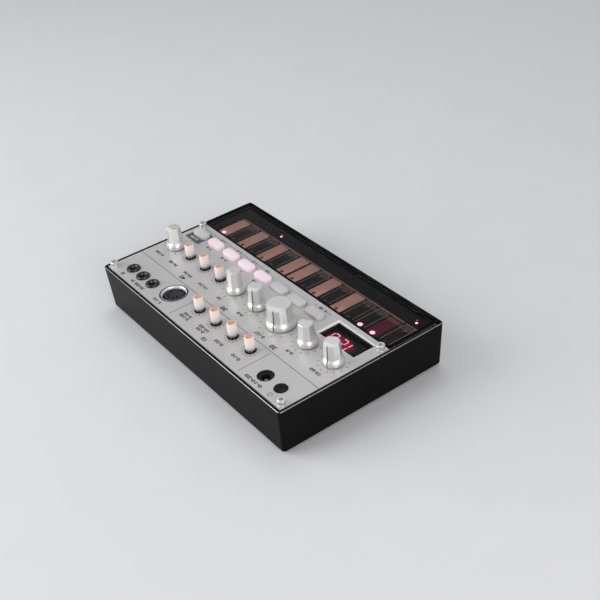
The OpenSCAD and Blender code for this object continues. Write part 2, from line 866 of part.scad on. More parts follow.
module speaker_leads() {
    lead_r = 0.6;
    color([0.7, 0.1, 0.1]) for (s = [-1, 1])
        translate([speaker_x + s * 3, speaker_y, 0])
            bar(lead_r, floor_z + speaker_h, board_under);
}

// Batteries

// Contact at one end of the bay, across one or two rows of cells, with its springs
module contact(s, rows, sprung, tab) {
    plate_w = 10;
    x0 = (s > 0) ? -contact_t : 0;
    translate([bay_x + s * bay_w / 2, bay_y, cell_z]) union() {
        translate([x0, rows[0] * row_pitch - plate_w / 2, -plate_w / 2])
            cube([contact_t, (rows[1] - rows[0]) * row_pitch + plate_w, plate_w]);
        for (k = sprung) translate([0, k * row_pitch, 0]) rotate([0, -90 * s, 0])
            cylinder(r1 = 3.4, r2 = 2.4, h = contact_t + spring_l);
        if (tab) translate([x0, s * row_pitch - tab_w / 2, 0])
            cube([contact_t, tab_w, board_under - cell_z]);
    }
}

// The three rows stand in series, so two contacts join neighbouring rows
module battery_contacts() {
    color([0.8, 0.8, 0.78]) {
        contact(-1, [-1, -1], [-1], true);
        contact(1, [-1, 0], [0], false);
        contact(-1, [0, 1], [1], false);
        contact(1, [1, 1], [], true);
    }
}

module battery_cells() {
    nub_r = 2.7;
    nub_l = 1.4;
    color([0.2, 0.25, 0.3]) for (s = [-1, 1], k = [-1, 0, 1]) {
        way = (k == 0) ? -1 : 1;
        along = (s * (cell_l + end_gap) + way * spring_l) / 2;
        translate([bay_x + along, bay_y + k * row_pitch, cell_z])
            rotate([0, 90 * way, 0]) translate([0, 0, -cell_l / 2]) union() {
                cylinder(r = cell_d / 2, h = cell_l - nub_l);
                cylinder(r = nub_r, h = cell_l);
            }
    }
}

lower_case();
battery_door();
rubber_feet();
top_panel();
panel_screws();
touch_cover();
touch_gasket();
touch_board();
touch_keys();
touch_lamps();
board_link();
main_board();
board_screws();
display_module();
display_window();
knob_pots();
octave_switch();
slim_pots();
shaft(octave_x, octave_turn);  // octave_shaft
shaft(peak_x, peak_turn);  // peak_shaft
shaft(cutoff_x, cutoff_turn);  // cutoff_shaft
shaft(rate_x, rate_turn);  // rate_shaft
shaft(intensity_x, intensity_turn);  // intensity_shaft
shaft(volume_x, volume_turn);  // volume_shaft
knob(octave_x, octave_turn, skirt_r, 0.86, 8);  // octave_knob
knob(peak_x, peak_turn, skirt_r, 0.86, 8);  // peak_knob
knob(cutoff_x, cutoff_turn, big_skirt_r, 0.88, 12);  // cutoff_knob
knob(rate_x, rate_turn, skirt_r, 0.86, 8);  // rate_knob
knob(intensity_x, intensity_turn, skirt_r, 0.86, 8);  // intensity_knob
knob(volume_x, volume_turn, skirt_r, 0.86, 8);  // volume_knob
slim_knob(0);  // tempo_knob
slim_knob(1);  // attack_knob
slim_knob(2);  // decay_knob
slim_knob(3);  // envelope_knob
slim_knob(4);  // pitch_1_knob
slim_knob(5);  // pitch_2_knob
slim_knob(6);  // pitch_3_knob
button(0);  // button_1
button(1);  // button_2
button(2);  // button_3
button(3);  // button_4
button(4);  // button_5
button(5);  // button_6
button(6);  // button_7
button(7);  // button_8
button_switches();
power_button();
power_switch();
dc_inlet();
dc_pin();
jack(0);  // sync_in_jack
jack(1);  // sync_out_jack
jack(2);  // headphone_jack
midi_socket();
midi_shield();
speaker();
speaker_leads();
battery_contacts();
battery_cells();
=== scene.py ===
"""Looks of the table-top bass synthesizer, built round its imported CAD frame.
Lengths in the tables and helpers are millimetres; make() turns them into metres."""

import math

import bmesh
import bpy
import numpy as np
from mathutils import Matrix, Vector


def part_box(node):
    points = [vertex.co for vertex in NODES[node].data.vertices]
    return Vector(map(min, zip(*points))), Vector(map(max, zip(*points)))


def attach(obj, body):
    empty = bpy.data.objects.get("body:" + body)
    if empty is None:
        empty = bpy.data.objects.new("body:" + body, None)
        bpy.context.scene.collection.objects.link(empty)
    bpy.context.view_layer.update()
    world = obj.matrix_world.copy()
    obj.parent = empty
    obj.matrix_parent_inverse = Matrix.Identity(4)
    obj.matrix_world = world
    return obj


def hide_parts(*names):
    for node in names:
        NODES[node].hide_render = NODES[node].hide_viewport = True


MM = 0.001
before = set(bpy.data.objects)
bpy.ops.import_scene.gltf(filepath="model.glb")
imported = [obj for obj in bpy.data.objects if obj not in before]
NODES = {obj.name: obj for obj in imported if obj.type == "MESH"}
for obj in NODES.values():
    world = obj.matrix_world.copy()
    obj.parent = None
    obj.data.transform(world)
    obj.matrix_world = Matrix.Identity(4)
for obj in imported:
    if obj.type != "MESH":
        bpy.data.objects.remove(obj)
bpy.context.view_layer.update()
scene = bpy.context.scene

PANEL = 31.0          # top of the control panel
KEYS = 28.6           # top of the touch board
INK = 0.03            # thickness of the print


# Camera, light and floor

CAMERA_ANGLES = (236.703, 34.729, -6.093)      # azimuth, elevation and roll in degrees
CAMERA_TARGET = (-22.312, -11.402, PANEL)
CAMERA_DISTANCE = 612.467
CAMERA_LENS = 62.16
CAMERA_SENSOR = 36
LIGHT_TARGET = Vector((0, 0, 0.03))            # metres
# Soft boxes: name, place and size in metres, watts, colour
LIGHTS = [("key_box", (0.55, 0.85, 0.50), 0.95, 9.5, (1, 1, 1)),
          ("side_box", (-0.95, 0.15, 0.45), 0.6, 4.5, (1, 0.97, 0.95)),
          ("top_box", (0.25, -0.35, 1.1), 0.6, 2, (0.97, 0.98, 1))]
WORLD_COLOUR = (0.80, 0.82, 0.85, 1)
WORLD_STRENGTH = 0.5
FLOOR_HALF = 3000
FLOOR_LEVELS = (-20, -0.05)


def add_camera():
    """The photograph's view, from the fit to the rim's corners."""
    az, el, roll = (math.radians(a) for a in CAMERA_ANGLES)
    back = Vector((math.sin(az) * math.cos(el), -math.cos(az) * math.cos(el), math.sin(el)))
    right = (-back).cross(Vector((0, 0, 1))).normalized()
    up = right.cross(-back)
    side = right * math.cos(roll) + up * math.sin(roll)
    top = up * math.cos(roll) - right * math.sin(roll)
    place = (Vector(CAMERA_TARGET) + back * CAMERA_DISTANCE) * MM
    turn = Matrix((side, top, back)).transposed().to_4x4()
    camera = bpy.data.objects.new("camera", bpy.data.cameras.new("camera"))
    camera.data.lens = CAMERA_LENS
    camera.data.sensor_width = CAMERA_SENSOR
    camera.data.clip_start = 0.01
    camera.matrix_world = Matrix.Translation(place) @ turn
    scene.collection.objects.link(camera)
    scene.camera = camera


def add_light(name, place, size, watts, colour):
    """Square soft box that looks at the middle of the panel."""
    lamp = bpy.data.lights.new(name, "AREA")
    lamp.size = size
    lamp.energy = watts
    lamp.color = colour
    obj = bpy.data.objects.new(name, lamp)
    obj.location = place
    obj.rotation_euler = (Vector(place) - LIGHT_TARGET).to_track_quat("Z", "Y").to_euler()
    scene.collection.objects.link(obj)


def add_surroundings():
    scene.view_settings.view_transform = "Standard"
    world = bpy.data.worlds.new("studio")
    world.use_nodes = True
    background = world.node_tree.nodes["Background"]
    background.inputs["Color"].default_value = WORLD_COLOUR
    background.inputs["Strength"].default_value = WORLD_STRENGTH
    scene.world = world
    for light in LIGHTS:
        add_light(*light)
    corners = [(x * FLOOR_HALF, y * FLOOR_HALF) for x, y in ((-1, -1), (1, -1), (1, 1), (-1, 1))]
    bm = bmesh.new()
    add_prism(bm, corners, *FLOOR_LEVELS)
    floor = make("studio_floor", bm, surface("floor_paper", (0.73, 0.73, 0.74), rough=0.7,
                                             shade=0.01, scale=30, bump=0.002), body=None)


# Materials

NOISE_RANGE = (0.3, 0.7)       # where nearly all values of a noise lie
ROUGH_SCALE = 2.3              # how much finer the roughness drifts than the colour
BUMP_STRENGTH = 0.4


def surface(name, colour, rough=0.4, shade=0.05, scale=120, bump=0.004, grain=2200, wear=0.05,
            **sockets):
    """Principled material whose colour and roughness drift slowly, with a fine moulded grain."""
    mat = bpy.data.materials.new(name)
    mat.use_nodes = True
    tree = mat.node_tree
    nodes, link = tree.nodes, tree.links.new
    shader = nodes["Principled BSDF"]
    for key, value in sockets.items():
        socket = shader.inputs[key.replace("_", " ")]
        socket.default_value = (*value, 1) if isinstance(value, tuple) else value
    place = nodes.new("ShaderNodeTexCoord")

    def noise(size, detail):
        n = nodes.new("ShaderNodeTexNoise")
        n.inputs["Scale"].default_value = size
        n.inputs["Detail"].default_value = detail
        link(place.outputs["Object"], n.inputs["Vector"])
        return n.outputs["Fac"]

    def remap(source, low, high):
        m = nodes.new("ShaderNodeMapRange")
        m.inputs["From Min"].default_value = NOISE_RANGE[0]
        m.inputs["From Max"].default_value = NOISE_RANGE[1]
        m.inputs["To Min"].default_value = low
        m.inputs["To Max"].default_value = high
        link(source, m.inputs["Value"])
        return m.outputs["Result"]

    slow = noise(scale, 3)
    tint = nodes.new("ShaderNodeMix")
    tint.data_type = "RGBA"
    tint.inputs["A"].default_value = (*[c * (1 - shade) for c in colour], 1)
    tint.inputs["B"].default_value = (*[min(c * (1 + shade), 1) for c in colour], 1)
    link(remap(slow, 0, 1), tint.inputs["Factor"])
    link(tint.outputs["Result"], shader.inputs["Base Color"])
    link(remap(noise(scale * ROUGH_SCALE, 4), rough * (1 - wear), rough * (1 + wear)),
         shader.inputs["Roughness"])
    ripple = nodes.new("ShaderNodeBump")
    ripple.inputs["Strength"].default_value = BUMP_STRENGTH
    ripple.inputs["Distance"].default_value = bump * MM
    link(noise(grain, 2), ripple.inputs["Height"])
    link(ripple.outputs["Normal"], shader.inputs["Normal"])
    return mat


def shader_of(mat):
    return mat.node_tree.nodes["Principled BSDF"]


def glow(mat, colour, strength):
    """Gives a material light of its own."""
    shader_of(mat).inputs["Emission Color"].default_value = (*colour, 1)
    shader_of(mat).inputs["Emission Strength"].default_value = strength
    return mat


def glow_and_shade_bands(mat, stops, light):
    """Colour and glow that run through stops of (z, colour): painted light, and painted shade
    where the stops are dark."""
    tree = mat.node_tree
    nodes, link = tree.nodes, tree.links.new
    place = nodes.new("ShaderNodeTexCoord")
    split = nodes.new("ShaderNodeSeparateXYZ")
    span = nodes.new("ShaderNodeMapRange")
    ramp = nodes.new("ShaderNodeValToRGB")
    low, high = stops[0][0], stops[-1][0]
    span.inputs["From Min"].default_value = low * MM
    span.inputs["From Max"].default_value = high * MM
    elements = ramp.color_ramp.elements
    elements[0].color = (*stops[0][1], 1)
    elements[-1].color = (*stops[-1][1], 1)
    for z, colour in stops[1:-1]:
        elements.new((z - low) / (high - low)).color = (*colour, 1)
    link(place.outputs["Object"], split.inputs["Vector"])
    link(split.outputs["Z"], span.inputs["Value"])
    link(span.outputs["Result"], ramp.inputs["Fac"])
    link(ramp.outputs["Color"], shader_of(mat).inputs["Base Color"])
    link(ramp.outputs["Color"], shader_of(mat).inputs["Emission Color"])
    shader_of(mat).inputs["Emission Strength"].default_value = light
    return mat


# Painted glow: light spilled from the lit figures, painted on the module's face
SPILL_GLOW_CENTRE = (-0.0665, -0.0063, 0.0262)       # metres
SPILL_GLOW_REACH = (0.0125, 0.0062, 1)               # metres, along x and y
SPILL_GLOW_COLOUR = (0.55, 0.01, 0.09)


def display_glow(mat):
    """Painted crimson glow on the module's face round the lit figures: their spilled light,
    painted as emission.
    """
    tree = mat.node_tree
    nodes, link = tree.nodes, tree.links.new
    place = nodes.new("ShaderNodeTexCoord")
    move = nodes.new("ShaderNodeMapping")
    move.vector_type = "TEXTURE"
    move.inputs["Location"].default_value = SPILL_GLOW_CENTRE
    move.inputs["Scale"].default_value = SPILL_GLOW_REACH
    length = nodes.new("ShaderNodeVectorMath")
    length.operation = "LENGTH"
    span = nodes.new("ShaderNodeMapRange")
    span.interpolation_type = "SMOOTHSTEP"
    for key, value in (("From Min", 0.4), ("From Max", 1.08), ("To Min", 0.5), ("To Max", 0)):
        span.inputs[key].default_value = value
    link(place.outputs["Object"], move.inputs["Vector"])
    link(move.outputs["Vector"], length.inputs[0])
    link(length.outputs["Value"], span.inputs["Value"])
    link(span.outputs["Result"], shader_of(mat).inputs["Emission Strength"])
    shader_of(mat).inputs["Emission Color"].default_value = (*SPILL_GLOW_COLOUR, 1)
    return mat


# Help for CAD nodes

def dress(mat, *names):
    """Gives CAD nodes a material."""
    for name in names:
        NODES[name].data.materials.clear()
        NODES[name].data.materials.append(mat)


def round_edges(width, *names):
    """Rounds the edges of CAD nodes with a modifier."""
    for name in names:
        mod = NODES[name].modifiers.new("edges", "BEVEL")
        mod.width = width * MM
        mod.segments = 3
        mod.limit_method = "ANGLE"
        mod.angle_limit = math.radians(35)
        mod.harden_normals = True


# Outlines

def circle(x, y, r, n=32):
    return [(x + r * math.cos(2 * math.pi * i / n),
             y + r * math.sin(2 * math.pi * i / n)) for i in range(n)]


def ellipse(x, y, a, b, n=28):
    return [(x + a * u, y + b * v) for u, v in circle(0, 0, 1, n)]


def rounded(x, y, w, d, r, n=6):
    """Rectangle with round corners, n steps to a corner."""
    points = []
    for k, (sx, sy) in enumerate(((1, 1), (-1, 1), (-1, -1), (1, -1))):
        for i in range(n + 1):
            a = math.pi / 2 * (k + i / n)
            points.append((x + sx * (w / 2 - r) + r * math.cos(a),
                           y + sy * (d / 2 - r) + r * math.sin(a)))
    return points


def at(outline, z):
    return [(x, y, z) for x, y in outline]


# Mesh helpers

MERGE = 0.0005        # vertices nearer than this become one
SMOOTH_ANGLE = 28     # edges sharper than this are rounded by soften()


def add_quads(bm, rows):
    """Quads between each ring of vertices and the next."""
    n = len(rows[0])
    for a, b in zip(rows, rows[1:]):
        for i in range(n):
            bm.faces.new((a[i], a[(i + 1) % n], b[(i + 1) % n], b[i]))


def add_ring_stack(bm, rings):
    """Solid whose skin runs over rings of points; the end rings become faces."""
    rows = [[bm.verts.new(p) for p in ring] for ring in rings]
    add_quads(bm, rows)
    bm.faces.new(rows[0][::-1])
    bm.faces.new(rows[-1])


def add_ring_loop(bm, rings):
    """Solid with a hole, whose skin runs over rings of points and back to the first."""
    rows = [[bm.verts.new(p) for p in ring] for ring in rings]
    add_quads(bm, rows + rows[:1])


def add_prism(bm, outline, z0, z1):
    add_ring_stack(bm, [at(outline, z0), at(outline, z1)])


def add_frame(bm, outer, inner, z0, z1):
    """Upright wall between two outlines."""
    add_ring_loop(bm, [at(outer, z0), at(outer, z1), at(inner, z1), at(inner, z0)])


def add_lathe(bm, x, y, profile, n=48):
    """Solid of revolution; profile runs from the bottom's middle outwards and up."""
    add_ring_stack(bm, [at(circle(x, y, max(r, 0.01), n), z) for r, z in profile])


def add_tube(bm, x, y, profile, n=48):
    """Ring of revolution round a closed profile of (r, z)."""
    add_ring_loop(bm, [at(circle(x, y, r, n), z) for r, z in profile])


def add_box_with_hole(bm, x, y, w, d, r, z0, z1):
    """Block with a round bore through it."""
    hole = circle(x, y, r)
    outer = []
    for px, py in hole:
        dx, dy = px - x, py - y
        k = min(w / 2 / max(abs(dx), 1e-9), d / 2 / max(abs(dy), 1e-9))
        outer.append((x + dx * k, y + dy * k))
    add_ring_loop(bm, [at(hole, z0), at(outer, z0), at(outer, z1), at(hole, z1)])


def add_bar(bm, a, b, width, z0, z1):
    """Straight bar on the panel from point a to point b."""
    a, b = Vector(a), Vector(b)
    side = (b - a).normalized().orthogonal() * width / 2
    add_prism(bm, [tuple(p) for p in (a + side, a - side, b - side, b + side)], z0, z1)


def soften(bm, width):
    """Rounds the sharp edges."""
    bmesh.ops.recalc_face_normals(bm, faces=bm.faces)
    edges = [e for e in bm.edges if e.is_manifold and
             e.calc_face_angle(0) > math.radians(SMOOTH_ANGLE)]
    bmesh.ops.bevel(bm, geom=edges, offset=width, segments=2, profile=0.5,
                    affect="EDGES", clamp_overlap=True)


def make(name, bm, mat, body="case", replaces=(), sharp=32):
    """Turns a bmesh in millimetres into a piece of the scene on a body."""
    bmesh.ops.remove_doubles(bm, verts=bm.verts, dist=MERGE)
    bmesh.ops.recalc_face_normals(bm, faces=bm.faces)
    bmesh.ops.scale(bm, vec=(MM, MM, MM), verts=bm.verts)
    mesh = bpy.data.meshes.new(name)
    bm.to_mesh(mesh)
    bm.free()
    mesh.shade_smooth()
    mesh.set_sharp_from_angle(angle=math.radians(sharp))
    mesh.materials.append(mat)
    obj = bpy.data.objects.new(name, mesh)
    scene.collection.objects.link(obj)
    if body:
        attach(obj, body)
    if replaces:
        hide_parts(*replaces)
    return obj


# The control layout

ROW = 10.8            # y of the large knobs and the pitch knobs
# Large knobs: x, turn of the pointer, skirt's radius, body's share of it, facets
LARGE = {"octave": (-82.6, -15, 6.12, 0.845, 8), "peak": (-59.3, 150, 6.12, 0.845, 8),
         "cutoff": (-34.0, -25, 9.2, 0.88, 12), "rate": (-10.3, -28, 6.12, 0.845, 8),
         "intensity": (12.6, 10, 6.12, 0.845, 8), "volume": (82.6, -3, 6.12, 0.845, 8)}
SLIM = {"tempo": (-42.2, 37.9), "attack": (-24.5, 37.9), "decay": (-6.8, 37.9),
        "envelope": (10.9, 37.9), "pitch_1": (30.1, ROW), "pitch_2": (47.6, ROW),
        "pitch_3": (65.1, ROW)}
BUTTONS = [(-40 + 17.55 * i, -9.0) for i in range(8)]
LIT_BUTTONS = (3, 4, 5, 6)
JACKS = {"sync_in_jack": 55.4, "sync_out_jack": 67.4, "headphone_jack": 79.4}
JACK_Y = 44.7
MIDI = (37.3, 40.2)
DC = (-66.3, 44.6)
POWER = (-80.6, 44.8)
DISPLAY = (-70.5, -7.6)
KEY_X = [-85.45 + 10.9 * i for i in range(16)]
KEY_REAR, KEY_FRONT = -21.9, -41.6
COPPER = (1, 4, 6, 8, 9, 11, 13, 15)
GLOW_PAINTED_KEY = 1
LIT_LAMPS = (1, 2, 15)
FRONT_LAMPS = (0, 12)


# Knobs

KNOB_FOOT = 31.6
KNOB_HEIGHT = 14.2
KNOB_CHAMFER = 0.3
FACET_INSET = 0.32
FACET_LEVELS = (4.15, 7.5, 10.5, KNOB_HEIGHT - KNOB_CHAMFER, KNOB_HEIGHT)
TAPER_START = 4.2
TAPER = math.radians(3.3)
BEVEL_SLOPE = math.radians(28)
BEVEL_IN = 2.1                # from the axis, for a skirt with BEVEL_SKIRT as its radius
BEVEL_SKIRT = 6.0
BEVEL_GROWTH = 0.7
GROOVE_HALF = 0.42
GROOVE_DEPTH = 0.5
GROOVE_SIDE = 0.02            # angle over which the groove's wall drops
STRIPE_HALF = 0.3
STRIPE_TOP = 0.42             # depth of the stripe's face in the groove
STRIPE_BOTTOM = GROOVE_DEPTH + 0.3
STEPS_PER_FACET = 8


def knob_radius(z, turn, body, facets):
    """Distance from the axis to a facet, at a height and an angle from the pointer."""
    wedge = 2 * math.pi / facets
    flat = body - FACET_INSET - max(z - TAPER_START, 0) * math.tan(TAPER)
    flat -= max(z - KNOB_HEIGHT + KNOB_CHAMFER, 0)
    return flat / math.cos(turn % wedge - wedge / 2)


def knob_profile(skirt, body, facets):
    """Heights with a function each that gives the radius at an angle."""
    round_part = [(0, skirt - 0.35), (0.12, skirt - 0.1), (0.4, skirt), (1.8, skirt),
                  (2.25, skirt - 0.05), (2.65, skirt - 0.2), (3.0, skirt - 0.42),
                  (3.35, body + 0.42), (3.6, body + 0.2), (3.8, body + 0.08)]
    rings = [(z, lambda a, r=r: r) for z, r in round_part]
    return rings + [(z, lambda a, z=z: knob_radius(z, a, body, facets)) for z in FACET_LEVELS]


def cap_rings(profile, skirt, facets):
    """Rings round the whole knob, with the groove at the pointer."""
    notch = math.asin(GROOVE_HALF / skirt)
    steps = facets * STEPS_PER_FACET
    angles = sorted({2 * math.pi * i / steps for i in range(steps)}
                    | {a % (2 * math.pi) for n in (notch, notch + GROOVE_SIDE) for a in (n, -n)})
    edge = math.cos(notch + GROOVE_SIDE / 2)
    rings = []
    for z, radius in profile:
        ring = [(radius(a) - GROOVE_DEPTH * (math.cos(a) > edge), a) for a in angles]
        rings.append([(r * math.sin(a), r * math.cos(a), z) for r, a in ring][::-1])
    return rings


def stripe_rings(profile):
    """Rings round the dark stripe at the bottom of the groove."""
    corners = ((-STRIPE_HALF, STRIPE_TOP), (-STRIPE_HALF, STRIPE_BOTTOM),
               (STRIPE_HALF, STRIPE_BOTTOM), (STRIPE_HALF, STRIPE_TOP))
    return [[(u, radius(0.0) - inset, z) for u, inset in corners] for z, radius in profile]


def add_knob(bm, x, turn, skirt, share, facets, stripe=False):
    """Skirted knob: round skirt, tapered faceted body, flat top, pointer bevel and groove.
    With stripe, only the dark stripe at the bottom of the groove is made."""
    profile = knob_profile(skirt, skirt * share, facets)
    add_ring_stack(bm, stripe_rings(profile) if stripe else cap_rings(profile, skirt, facets))
    bevel_in = BEVEL_IN + (skirt - BEVEL_SKIRT) * BEVEL_GROWTH
    bmesh.ops.bisect_plane(bm, geom=bm.verts[:] + bm.edges[:] + bm.faces[:], dist=1e-5,
                           plane_co=(0, bevel_in, KNOB_HEIGHT),
                           plane_no=(0, math.sin(BEVEL_SLOPE), math.cos(BEVEL_SLOPE)),
                           clear_outer=True)
    bmesh.ops.holes_fill(bm, edges=[e for e in bm.edges if e.is_boundary])
    if not stripe:
        soften(bm, 0.1)
    bmesh.ops.transform(bm, matrix=Matrix.Translation((x, ROW, KNOB_FOOT)) @
                        Matrix.Rotation(math.radians(-turn), 4, "Z"), verts=bm.verts)


def add_large_knobs(mat, groove_dark):
    for name, shape in LARGE.items():
        bm = bmesh.new()
        add_knob(bm, *shape)
        cap = make(f"{name}_knob_cap", bm, mat, f"{name}_control", [f"{name}_knob"])
        cap.modifiers.new("flat_faces", "WEIGHTED_NORMAL").keep_sharp = True
        bm = bmesh.new()
        add_knob(bm, *shape, stripe=True)
        make(f"{name}_knob_pointer", bm, groove_dark, f"{name}_control")


SLEEVE = [(0, 23.0), (2.9, 23.0), (2.9, 31.0), (2.88, 33.5), (2.84, 39.9),
          (2.76, 40.35), (2.52, 40.62), (2.3, 40.66), (2.3, 40.5), (0, 40.5)]
DISC = [(0, 40.45), (2.24, 40.45), (2.24, 40.6), (2.1, 40.66), (0, 40.68)]
RIBS = 10
RIB_RING, RIB_RADIUS = 2.78, 0.2
RIB_LOW, RIB_TOP = 31.6, 33.1
SLOT_ANGLE = math.radians(110)
SLOT_WIDTH = 0.36
SLOT_ENDS = (0.2, 2.0)        # from the axis
SLOT_LOW, SLOT_TOP = 40.6, 40.69


def polar(x, y, r, a):
    return x + r * math.cos(a), y + r * math.sin(a)


def add_slim_knobs(sleeve, disc, rib, slot_dark):
    """Clear knob on its shaft: peach disc in its top, a darker brown bar across the disc for the
    pointer, short ribs at its foot.
    """
    for name, (x, y) in SLIM.items():
        body = f"{name}_control"
        bm = bmesh.new()
        add_lathe(bm, x, y, SLEEVE)
        make(f"{name}_knob_sleeve", bm, sleeve, body, [f"{name}_knob"])
        bm = bmesh.new()
        add_lathe(bm, x, y, DISC)
        make(f"{name}_knob_disc", bm, disc, body)
        bm = bmesh.new()
        for i in range(RIBS):
            middle = polar(x, y, RIB_RING, 2 * math.pi * (i + 0.5) / RIBS)
            add_prism(bm, circle(*middle, RIB_RADIUS, 8), RIB_LOW, RIB_TOP)
        make(f"{name}_knob_ribs", bm, rib, body)
        bm = bmesh.new()
        ends = [polar(x, y, r, SLOT_ANGLE) for r in SLOT_ENDS]
        add_bar(bm, *ends, SLOT_WIDTH, SLOT_LOW, SLOT_TOP)
        make(f"{name}_knob_slot", bm, slot_dark, body)


# Buttons and sockets

BUTTON_W, BUTTON_D, BUTTON_R = 13.8, 6.4, 2.6
BUTTON_TOP = 33.4
SHOULDER = 0.85
FLANGE_LOW, FLANGE_TOP = 27.8, 28.9
FLANGE_OUT, FLANGE_R = 1.2, 3.0
STEM_R = 1.5
STEM_LOW = 23.2
JACK_BORE = 1.82
JACK_SHOULDER = 27.2
DOME_MIDDLE = (3.3, 31.4)
DOME_SIZE = (1.1, 1.0)
FUNNEL = [(2.95, 32.34), (2.65, 32.1), (2.35, 31.6), (JACK_BORE, 30.8)]


def add_buttons(lit, plain):
    """Lozenge caps with a rounded shoulder and a faint crown, on their flanges and stems."""
    for i, (x, y) in enumerate(BUTTONS):
        bm = bmesh.new()
        shape = [(0, FLANGE_TOP), (0, BUTTON_TOP - SHOULDER)]
        shape += [(0.75 * (1 - math.cos(a)), BUTTON_TOP - SHOULDER + 0.7 * math.sin(a))
                  for a in np.linspace(0.2, 1.5, 6)]
        shape += [(1.5, BUTTON_TOP - 0.08), (2.1, BUTTON_TOP - 0.03), (2.5, BUTTON_TOP)]
        add_ring_stack(bm, [at(rounded(x, y, BUTTON_W - 2 * s, BUTTON_D - 2 * s,
                                       max(BUTTON_R - s, 0.25), 8), z) for s, z in shape])
        add_prism(bm, rounded(x, y, BUTTON_W + FLANGE_OUT, BUTTON_D + FLANGE_OUT, FLANGE_R),
                  FLANGE_LOW, FLANGE_TOP)
        add_lathe(bm, x, y, [(0, STEM_LOW), (STEM_R, STEM_LOW), (STEM_R, FLANGE_LOW + 0.1),
                             (0, FLANGE_LOW + 0.1)], 24)
        mat = lit if i in LIT_BUTTONS else plain
        make(f"button_{i + 1}_cap", bm, mat, f"button_{i + 1}_key", [f"button_{i + 1}"],
             sharp=40)


def add_jack_bushings(mat):
    """Glossy round bushings with a domed lip that funnels into the plug's bore."""
    dome = [(DOME_MIDDLE[0] + DOME_SIZE[0] * math.cos(a),
             DOME_MIDDLE[1] + DOME_SIZE[1] * math.sin(a)) for a in np.linspace(0, math.pi / 2, 10)]
    profile = ([(4.4, JACK_SHOULDER)] + dome + FUNNEL
               + [(JACK_BORE, 21.7), (2.4, 21.7), (2.4, JACK_SHOULDER)])
    for name, x in JACKS.items():
        bm = bmesh.new()
        add_tube(bm, x, JACK_Y, profile)
        add_box_with_hole(bm, x, JACK_Y, 10.4, 11.6, JACK_BORE, 21.6, 28.2)
        make(f"{name}_bushing", bm, mat, replaces=[name])


def add_round_sockets(chrome, bright, liner):
    """Shield of the five-pin socket, with a thin lip in a darker copy of its metal (painted shade)
    and a funnel in a brighter one (painted highlight), and the power inlet's liner.
    """
    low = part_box("midi_shield")[0].z / MM
    floor = low + 1.4
    bm = bmesh.new()
    add_tube(bm, *MIDI, [(8.3, low), (8.3, 31.05), (8.22, 31.15), (8.08, 31.15), (8.0, 31.05),
                         (7.75, 30.7), (7.3, 29.4), (7.3, floor), (5.0, floor), (5.0, low)], 96)
    make("midi_shield_cup", bm, chrome, replaces=["midi_shield"])
    bm = bmesh.new()
    add_tube(bm, *MIDI, [(7.92, 31.02), (7.70, 30.66), (7.26, 29.3), (7.18, 29.3), (7.62, 30.68),
                         (7.84, 31.02)], 96)
    make("midi_shield_funnel", bm, bright)
    bm = bmesh.new()
    add_tube(bm, *DC, [(4.93, 29.3), (4.93, 30.9), (4.85, 31.0), (4.6, 30.9),
                       (4.45, 30.4), (4.4, 29.3)], 64)
    add_tube(bm, *MIDI, [(8.36, 28.0), (8.98, 28.0), (8.98, 30.4), (8.36, 30.4)], 96)
    make("socket_liners", bm, liner)


def add_power_cap(mat):
    """Glossy domed cap on its flange and stem."""
    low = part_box("power_button")[0].z / MM
    bm = bmesh.new()
    crown = [(3.35 + 0.55 * math.cos(a), 31.2 + 0.42 * math.sin(a))
             for a in np.linspace(0, math.pi / 2.4, 6)]
    add_lathe(bm, *POWER, [(0, low), (1.5, low), (1.5, 27.8), (4.9, 27.8), (4.9, 28.8),
                           (3.9, 28.9)] + crown + [(2.4, 31.72), (1.2, 31.78), (0, 31.8)], 64)
    make("power_button_cap", bm, mat, "power_key", ["power_button"])


# Print on the panel

# Plain number ranges: text, both ends in x, middle in y, size
LABELS = [("0-10-20", -72.8, -57.8, 52.0, 2.9), ("0-10", -45.5, -37.8, 47.5, 2.9),
          ("0-20", -27.8, -20.0, 47.2, 2.9), ("0-30", -10.0, -2.5, 48.6, 2.7),
          ("10-50", -11.0, -1.5, 46.0, 2.7), ("10", -17.0, -13.0, 51.6, 3.4),
          ("0-100", 7.0, 16.0, 48.6, 2.7), ("5-50", 7.8, 15.2, 46.0, 2.7),
          ("1-16", 34.0, 41.8, 51.8, 2.9), ("20-200", 54.3, 64.6, 51.9, 2.9),
          ("24", 66.0, 69.2, 51.9, 2.9), ("0", 78.5, 81.0, 52.2, 3.4),
          ("10-60", -86.0, -77.5, 22.9, 2.8), ("0-9", -61.3, -55.5, 22.8, 2.8),
          ("20", -51.0, -46.2, 27.0, 3.8), ("0-127", -38.2, -29.5, 25.8, 2.8),
          ("0-8", -12.0, -6.5, 22.8, 2.8), ("30", -0.5, 4.8, 26.7, 3.8),
          ("24", 11.3, 15.2, 22.9, 2.8), ("12-24", 26.8, 36.0, 22.9, 2.8),
          ("40", 45.8, 51.2, 27.0, 3.8), ("24-36", 44.3, 53.5, 22.9, 2.8),
          ("36-48", 62.0, 71.2, 22.9, 2.8), ("0-100", 79.2, 88.0, 22.9, 2.8),
          ("1-5", 45.0, 51.2, -3.3, 2.6), ("1-6", 63.0, 68.5, -3.3, 2.6),
          ("1-4", 10.0, 15.5, -3.3, 2.6), ("1-3", 27.6, 33.2, -3.3, 2.6),
          ("10", 14.8, 18.2, -15.4, 2.4), ("1-2", 28.4, 33.0, -15.4, 2.4),
          ("1-3", 45.7, 50.3, -15.4, 2.4), ("1-4", 64.2, 68.8, -15.4, 2.4),
          ("1-8", -42.5, -36.0, -15.5, 2.4)]
LIGHT_LABEL = ("0-99", 79.7, 87.5, -3.7, 2.6)
